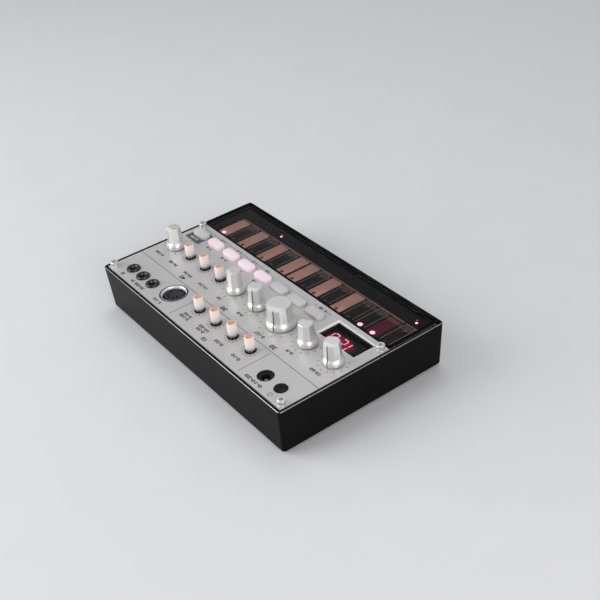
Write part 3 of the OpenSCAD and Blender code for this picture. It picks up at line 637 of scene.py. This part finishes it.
RULES = [(-94.1, 30.2, 94.1, 30.2), (-52.3, 31.3, -52.3, 53.2), (21.0, 31.3, 21.0, 53.2),
         (18.8, -15.3, 27.8, -15.3), (33.6, -15.3, 45.1, -15.3), (50.9, -15.3, 63.6, -15.3),
         (69.4, -15.3, 88.0, -15.3), (-47.5, -15.3, -43.2, -15.3), (-35.2, -15.3, -31.5, -15.3)]
RULE_WIDTH = 0.32
BOLD = 0.045                  # swelling of the figures' outline, as a share of their size
TICKS = 11
TICK_FIRST, TICK_STEP = -135, 27
TICK_WIDTH = 0.43
TICK_REACH = {"small": (8.2, 9.3), "big": (12.0, 13.2), "slim": (4.5, 5.5)}
BIG_SKIRT = 7                 # a skirt of this radius or more has the big scale
RING_PLACE = (-80.7, 52.0)


def add_label(bm, text, x0, x1, y, size, z=PANEL):
    """Bold figures between x0 and x1, read from the player's side."""
    curve = bpy.data.curves.new("figures", "FONT")
    curve.body = text
    curve.size = size
    curve.align_x = curve.align_y = "CENTER"
    curve.extrude = INK / 2
    curve.offset = size * BOLD
    curve.resolution_u = 3
    obj = bpy.data.objects.new("figures", curve)
    scene.collection.objects.link(obj)
    made = bpy.data.meshes.new_from_object(obj)
    made.transform(Matrix.Translation((0, 0, z + INK / 2)))
    low, high = (f(v.co.x for v in made.vertices) for f in (min, max))
    stretch = (x1 - x0) / (high - low)
    for v in made.vertices:
        v.co.x = x0 + (v.co.x - low) * stretch
        v.co.y += y
    bm.from_mesh(made)
    bpy.data.objects.remove(obj)
    bpy.data.meshes.remove(made)


def add_ticks(bm, x, y, inner, outer, z0, z1):
    """Ticks round a knob."""
    for k in range(TICKS):
        s, c = (f(math.radians(TICK_FIRST + TICK_STEP * k)) for f in (math.sin, math.cos))
        add_bar(bm, (x + inner * s, y + inner * c), (x + outer * s, y + outer * c), TICK_WIDTH,
                z0, z1)


def add_print(ink, shade_ink, light_ink):
    """Rules, ticks and figures, and the dark label round button 8."""
    z0, z1 = PANEL, PANEL + INK
    bm = bmesh.new()
    for xa, ya, xb, yb in RULES:
        add_bar(bm, (xa, ya), (xb, yb), RULE_WIDTH, z0, z1)
    for x, _, skirt, *_ in LARGE.values():
        add_ticks(bm, x, ROW, *TICK_REACH["small" if skirt < BIG_SKIRT else "big"], z0, z1)
    for x, y in SLIM.values():
        add_ticks(bm, x, y, *TICK_REACH["slim"], z0, z1)
    for label in LABELS:
        add_label(bm, *label)
    add_tube(bm, *RING_PLACE, [(1.1, z0), (1.45, z0), (1.45, z1), (1.1, z1)], 24)
    make("panel_print", bm, ink)
    bm = bmesh.new()
    plate = rounded(83.25, -7.15, 15.5, 12.7, 0.6, 3)
    opening = rounded(82.85, -9.0, 14.4, 7.0, 2.9, 3)
    add_frame(bm, plate, opening, z0, z1)
    make("button_8_label", bm, shade_ink)
    bm = bmesh.new()
    add_label(bm, *LIGHT_LABEL, z=z1)
    make("button_8_figures", bm, light_ink)


# Display

SEGMENTS = {"a": ((0, 1), (1, 1)), "b": ((1, 1), (1, 0)), "c": ((1, 0), (1, -1)),
            "d": ((0, -1), (1, -1)), "e": ((0, 0), (0, -1)), "f": ((0, 1), (0, 0)),
            "g": ((0, 0), (1, 0))}
FIGURES = {" ": "", "1": "bc", "2": "abged", "0": "abcdef"}
FACE = 26.2                   # top of the module's face
FIGURE_X, FIGURE_Y = -82.6, -6.3
FIGURE_PITCH = 7.7
FIGURE_WIDTH, FIGURE_HALF = 4.2, 4.1
FIGURE_SLANT = 0.07
SEGMENT_GAP = 0.22


def add_segment(bm, a, b, width, z0, z1):
    """Bar with pointed ends."""
    a, b = Vector(a), Vector(b)
    along = (b - a).normalized()
    side = along.orthogonal() * width / 2
    a, b = a + along * SEGMENT_GAP, b - along * SEGMENT_GAP
    points = (a, a + along * width / 2 + side, b - along * width / 2 + side, b,
              b - along * width / 2 - side, a + along * width / 2 - side)
    add_prism(bm, [tuple(p) for p in points], z0, z1)


def add_display(glass, liner, face_glow, crimson, core, wall):
    """Dark filter pane over the module's face, with the lit figures standing on that face."""
    def pane(*shape):
        return rounded(*DISPLAY, *shape, 2)

    bm = bmesh.new()
    add_prism(bm, pane(32.4, 15.7, 0.3), 28.8, 29.6)
    make("display_filter", bm, glass, replaces=["display_window"])
    bm = bmesh.new()
    add_frame(bm, pane(32.4, 15.7, 0.3), pane(31.0, 14.3, 0.2), FACE, 28.78)
    make("display_liner", bm, liner)
    # White lining of the cut-out's walls that glows: painted light standing for the lit walls
    bm = bmesh.new()
    add_frame(bm, pane(32.96, 16.26, 0.1), pane(32.6, 15.9, 0.05), 28.5, 30.97)
    make("display_cutout_walls", bm, wall)
    bm = bmesh.new()
    add_prism(bm, pane(30.9, 14.2, 0.2), FACE, FACE + 0.04)
    make("display_face_glow", bm, face_glow)
    lit, bright = bmesh.new(), bmesh.new()
    for k, figure in enumerate(" 120"):
        middle = FIGURE_X + k * FIGURE_PITCH
        for key in FIGURES[figure]:
            a, b = [(middle + (u - 0.5) * FIGURE_WIDTH + v * FIGURE_HALF * FIGURE_SLANT,
                     FIGURE_Y + v * FIGURE_HALF) for u, v in SEGMENTS[key]]
            add_segment(lit, a, b, 1.3, FACE + 0.05, FACE + 0.1)
            add_segment(bright, a, b, 0.66, FACE + 0.08, FACE + 0.16)
    make("display_figures", lit, crimson)
    make("display_figure_cores", bright, core)


# Touch keyboard

KEY_TOP = KEYS + 0.25
KEY_WIDTH = 8.8
LINE_HALF = 4.05              # from a key's middle to its side lines
LINE_RISE = 0.02
LAMP_Y = -23.2
MASK_LOW, MASK_TOP = 29.1, 29.18
# Areas of the mask: ends in x, ends in y
MASK = ((-94.2, 94.2, -55.2, -43.5), (-94.2, -91.9, -43.5, -19.4),
        (84.4, 94.2, -43.5, -19.4), (-91.9, 84.4, -21.4, -19.4))


def add_key_lines(bm, x):
    """Three-sided outline and three short marks on a dark key."""
    low, high = KEY_TOP, KEY_TOP + LINE_RISE
    front = KEY_FRONT + 0.6
    for side in (x - LINE_HALF, x + LINE_HALF):
        add_bar(bm, (side, KEY_REAR - 1), (side, front), 0.26, low, high)
    add_bar(bm, (x - LINE_HALF, front), (x + LINE_HALF, front), 0.26, low, high)
    for u, v in ((-0.8, -0.5), (0.5, 0.4), (0.2, -1.1)):
        add_bar(bm, (x + u - 0.6, -37.4 + v), (x + u + 0.6, -37.2 + v), 0.25, low, high)


def add_keys(copper, dark, glow_painted_key, line):
    """Copper and dark keys, and one copper key painted crimson with a faint glow (painted light),
    with the lines that run over them.
    """
    groups = {"touch_keys_copper": (copper, bmesh.new()), "touch_keys_dark": (dark, bmesh.new()),
              "touch_key_glow_painted": (glow_painted_key, bmesh.new())}
    lines = bmesh.new()
    middle, depth = (KEY_REAR + KEY_FRONT) / 2, KEY_REAR - KEY_FRONT
    for i, x in enumerate(KEY_X):
        kind = "touch_key_glow_painted" if i == GLOW_PAINTED_KEY else (
            "touch_keys_copper" if i in COPPER else "touch_keys_dark")
        add_prism(groups[kind][1], rounded(x, middle, KEY_WIDTH, depth, 0.4, 3), KEYS, KEY_TOP)
        if i not in COPPER:
            add_key_lines(lines, x)
    for name, (mat, bm) in groups.items():
        soften(bm, 0.06)
        make(name, bm, mat, replaces=["touch_keys"])
    for y in (-38.2, -39.7):
        add_bar(lines, (-91.6, y), (84.2, y), 0.22, KEY_TOP + LINE_RISE, KEY_TOP + 2 * LINE_RISE)
    make("touch_key_lines", lines, line)


def add_front_strip(tin):
    """Pads in front of the keys, three short ones before the first key."""
    bm = bmesh.new()
    for i, x in enumerate(KEY_X):
        for u, half in ((-3.6, 1.3), (-0.4, 1.3), (2.8, 1.3)) if i == 0 else ((0, 5.2),):
            add_bar(bm, (x + u - half, -42.6), (x + u + half, -42.6), 1.0, KEYS, KEYS + 0.3)
    make("touch_front_strip", bm, tin)


def add_lamps(hole, white, painted_glow):
    """A lamp or its dark window on each key, with a ring of painted glow round each lit one, and
    the front row's lit lamps, which shine through the mask, each with a faint second spot that is
    a painted reflection."""
    z = KEY_TOP
    holes, lamps, painted_glows = bmesh.new(), bmesh.new(), bmesh.new()
    for i, x in enumerate(KEY_X):
        if i in LIT_LAMPS:
            add_prism(lamps, ellipse(x, LAMP_Y, 1.7, 1.45), z + 0.04, z + 0.2)
            # Ring of painted glow round the lit lamp
            add_tube(painted_glows, x, LAMP_Y, [(1.5, z), (2.05, z), (2.0, z + 0.04), (1.5, z + 0.1)], 24)
        else:
            add_prism(holes, circle(x, LAMP_Y, 1.15, 20), z, z + 0.03)
    make("touch_lamp_windows", holes, hole)
    for i in FRONT_LAMPS:
        x, y = KEY_X[i] + 0.3, -46.9
        add_prism(lamps, circle(x, y, 0.85, 20), MASK_TOP + 0.03, MASK_TOP + 0.06)
        # Faint second spot: painted reflection of the lamp
        add_prism(painted_glows, circle(x + 1.6, y - 2.0, 0.6, 20), MASK_TOP, MASK_TOP + 0.04)
    make("touch_lamps_lit", lamps, white, replaces=["touch_lamps"])
    make("touch_lamp_painted_glows", painted_glows, painted_glow)


def add_mask(mask):
    """Black mask under the cover, round the keys."""
    bm = bmesh.new()
    for x0, x1, y0, y1 in MASK:
        add_prism(bm, [(x0, y0), (x1, y0), (x1, y1), (x0, y1)], MASK_LOW, MASK_TOP)
    make("touch_cover_mask", bm, mask)


# The case's rim, with a painted highlight

RIM_W, RIM_D, RIM_R = 192.34, 114.36, 2
RIM_Z = 30.69
BEAD_RADIUS = 0.3


def add_rim(mat):
    """Bead of bright metal on the rim's outer edge: a painted highlight along the black case's
    edge.
    """
    bm = bmesh.new()
    rings = []
    for a in np.linspace(0, 2 * math.pi, 12, endpoint=False):
        off, z = BEAD_RADIUS * math.cos(a), RIM_Z + BEAD_RADIUS * math.sin(a)
        rings.append(at(rounded(0, 0, RIM_W + 2 * off, RIM_D + 2 * off, RIM_R + off, 8), z))
    add_ring_loop(bm, rings)
    make("case_rim_highlight_bead", bm, mat)


# Build

add_camera()
add_surroundings()

black = surface("case_gloss", (0.0065, 0.0062, 0.006), rough=0.16, shade=0.1, bump=0.002,
                Specular_IOR_Level=0.03)
# Bright metal on the black case's rim edge: painted highlight
rim_painted_highlight = surface("case_rim_painted_highlight", (0.44, 0.43, 0.42), rough=0.24, bump=0.0005, Metallic=0.9)
silver = surface("panel_silver", (0.56, 0.55, 0.545), rough=0.42, shade=0.02, scale=60,
                 bump=0.0012, Metallic=0.35)
knob_silver = surface("knob_silver", (0.88, 0.87, 0.855), rough=0.4, shade=0.01, bump=0.0001,
                      grain=900, Metallic=0.92)
steel = surface("screw_steel", (0.74, 0.74, 0.74), rough=0.38, shade=0.03, bump=0.0008,
                Metallic=0.7)
chrome = surface("socket_chrome", (0.86, 0.86, 0.87), rough=0.2, shade=0.03, bump=0.0006,
                 Metallic=0.85)
rubber = surface("foot_rubber", (0.03, 0.03, 0.03), rough=0.8, shade=0.15, bump=0.02)
parts_black = surface("part_black", (0.012, 0.012, 0.012), rough=0.5, shade=0.12, bump=0.004,
                      Specular_IOR_Level=0.3)
core_grey = surface("socket_core", (0.02, 0.02, 0.021), rough=0.5, shade=0.12, bump=0.002,
                    Specular_IOR_Level=0.3)
jack_gloss = surface("jack_gloss", (0.006, 0.006, 0.006), rough=0.14, shade=0.1, bump=0.0003,
                     Specular_IOR_Level=0.6)
power_gloss = surface("power_cap", (0.011, 0.0075, 0.0065), rough=0.14, shade=0.1, bump=0.0004,
                      Specular_IOR_Level=0.14)
board_mask = surface("board_mask", (0.015, 0.09, 0.04), rough=0.35, shade=0.12, bump=0.004)
touch_mask = surface("touch_board_mask", (0.006, 0.0055, 0.0055), rough=0.3, shade=0.1,
                     bump=0.001, Specular_IOR_Level=0.1)
pot_steel = surface("pot_steel", (0.5, 0.5, 0.52), rough=0.32, shade=0.08, bump=0.004,
                    Metallic=0.9)
cell_sleeve = surface("cell_sleeve", (0.09, 0.13, 0.2), rough=0.3, shade=0.06, bump=0.002)
lead_red = surface("lead_red", (0.45, 0.03, 0.03), rough=0.45, shade=0.08, bump=0.004)
smoked = surface("smoked_cover", (0.86, 0.84, 0.84), rough=0.02, shade=0.005, wear=0.1,
                 bump=0.0002, Transmission_Weight=1.0, IOR=1.14, Specular_IOR_Level=0.12)
filter_glass = surface("display_filter", (0.55, 0.60, 0.57), rough=0.02, shade=0.005,
                       bump=0.0002, Transmission_Weight=1.0, IOR=1.12,
                       Specular_IOR_Level=0.4)
door_gloss = surface("door_gloss", (0.0085, 0.0082, 0.008), rough=0.22, shade=0.12, bump=0.004,
                     Specular_IOR_Level=0.1)
shafts = [f"{name}_shaft" for name in LARGE]

dress(black, "lower_case")
dress(door_gloss, "battery_door")
dress(silver, "top_panel")
dress(steel, "panel_screws", "board_screws")
dress(pot_steel, "dc_pin")
dress(rubber, "rubber_feet", "touch_gasket")
dress(parts_black, "display_module", "octave_switch", "slim_pots", "button_switches",
      "power_switch", "dc_inlet", "board_link")
dress(core_grey, "midi_socket")
dress(chrome, "battery_contacts")
dress(board_mask, "main_board")
dress(touch_mask, "touch_board")
dress(pot_steel, "knob_pots", "speaker", *shafts)
dress(cell_sleeve, "battery_cells")
dress(lead_red, "speaker_leads")
dress(smoked, "touch_cover")
round_edges(0.12, "panel_screws", "midi_socket", "battery_door")

# Dark stripe at the bottom of the large knobs' pointer groove
groove_dark_stripe = surface("groove_dark_stripe", (0.10, 0.095, 0.09), rough=0.5, shade=0.08, bump=0.0005)
add_large_knobs(knob_silver, groove_dark_stripe)

# Sleeve of the slim knobs: the near-black foot is painted shade, the glow that brightens upwards
# is painted light
slim_sleeve_glow_and_shade = glow_and_shade_bands(surface("slim_sleeve_glow_and_shade", (0.8, 0.8, 0.8), rough=0.25, shade=0.03, bump=0.001,
                            Transmission_Weight=0.1, IOR=1.3),
                    [(31.0, (0.008, 0.008, 0.008)), (32.1, (0.015, 0.015, 0.015)),
                     (32.9, (0.25, 0.24, 0.24)), (33.8, (0.55, 0.51, 0.51)),
                     (36.0, (0.72, 0.64, 0.62)), (38.6, (0.76, 0.68, 0.655)),
                     (40.2, (0.78, 0.62, 0.56))], light=0.24)
slim_disc = surface("slim_disc", (0.64, 0.34, 0.25), rough=0.35, shade=0.1, scale=400, bump=0.001)
slim_rib = surface("slim_rib", (0.36, 0.35, 0.35), rough=0.3, bump=0.001)
# Darker brown bar across the slim knobs' discs
slim_slot_dark = surface("slim_slot_dark", (0.32, 0.13, 0.08), rough=0.4, bump=0.0005)
add_slim_knobs(slim_sleeve_glow_and_shade, slim_disc, slim_rib, slim_slot_dark)

button_lit = glow(surface("button_lit", (0.74, 0.62, 0.66), rough=0.3, shade=0.015, bump=0.001),
                  (1.0, 0.80, 0.87), 0.2)
button_plain = surface("button_plain", (0.60, 0.585, 0.575), rough=0.3, shade=0.015, bump=0.001)
add_buttons(button_lit, button_plain)
add_jack_bushings(jack_gloss)

# The shield's lip and funnel: one metal in a darker and a brighter copy, painted shade and painted
# highlight
shield_lip_painted_shade = surface("shield_lip_painted_shade", (0.30, 0.30, 0.31), rough=0.4, shade=0.03, bump=0.0003,
                     Metallic=0.8)
shield_funnel_painted_highlight = surface("shield_funnel_painted_highlight", (0.86, 0.86, 0.87), rough=0.4, shade=0.02, bump=0.0003,
                        Metallic=0.35)
add_round_sockets(shield_lip_painted_shade, shield_funnel_painted_highlight, parts_black)
add_power_cap(power_gloss)

print_ink = surface("print_ink", (0.05, 0.047, 0.047), rough=0.5, shade=0.1, bump=0.0005)
print_grey = surface("print_grey", (0.085, 0.085, 0.085), rough=0.45, shade=0.06, bump=0.0005)
print_light = surface("print_light", (0.50, 0.49, 0.48), rough=0.45, shade=0.06, bump=0.0005)
add_print(print_ink, print_grey, print_light)

# The module's face, with painted glow round the lit figures
display_face_glow = display_glow(surface("display_face_glow", (0.01, 0.014, 0.012), rough=0.4,
                                    bump=0.0005))
segment_crimson = glow(surface("segment_crimson", (0.2, 0.01, 0.04), rough=0.4, bump=0.0005),
                       (0.75, 0.012, 0.12), 1.0)
segment_core = glow(surface("segment_core", (0.6, 0.3, 0.35), rough=0.4, bump=0.0005),
                    (1.0, 0.28, 0.40), 1.7)
# Glowing white for the display cut-out's walls: painted light
cutout_wall_painted_glow = glow(surface("cutout_wall_painted_glow", (0.90, 0.89, 0.88), rough=0.35, shade=0.02,
                           bump=0.0005), (1.0, 0.98, 0.97), 0.16)
add_display(filter_glass, parts_black, display_face_glow, segment_crimson, segment_core, cutout_wall_painted_glow)

key_copper = surface("key_copper", (0.60, 0.315, 0.255), rough=0.35, shade=0.08, bump=0.001,
                     Metallic=0.4)
# Copper key drawn crimson with a faint glow: painted light
key_glow_painted = glow(surface("key_glow_painted", (0.06, 0.01, 0.016), rough=0.3, shade=0.1, bump=0.001,
                       Specular_IOR_Level=0.1), (0.5, 0.03, 0.1), 0.05)
key_dark = surface("key_dark", (0.008, 0.0065, 0.0065), rough=0.3, shade=0.12, bump=0.001,
                   Specular_IOR_Level=0.1)
key_line = surface("key_line", (0.42, 0.30, 0.25), rough=0.35, bump=0.0005, Metallic=0.3)
key_strip = surface("key_strip", (0.30, 0.17, 0.14), rough=0.35, shade=0.08, bump=0.0005,
                    Metallic=0.3)
lamp_window = surface("lamp_window", (0.01, 0.008, 0.008), rough=0.3, bump=0.0005)
lamp_white = glow(surface("lamp_white", (0.9, 0.6, 0.66), rough=0.3, bump=0.0005),
                  (1.0, 0.56, 0.67), 0.95)
# Painted glow round the lit lamps and painted reflections of the front lamps
lamp_painted_glow = glow(surface("lamp_painted_glow", (0.2, 0.04, 0.07), rough=0.4, bump=0.0005),
                 (0.6, 0.06, 0.16), 0.3)
mask_gloss = surface("mask_gloss", (0.004, 0.004, 0.004), rough=0.2, bump=0.0005,
                     Specular_IOR_Level=0.05)
add_keys(key_copper, key_dark, key_glow_painted, key_line)
add_front_strip(key_strip)
add_lamps(lamp_window, lamp_white, lamp_painted_glow)
add_mask(mask_gloss)
add_rim(rim_painted_highlight)
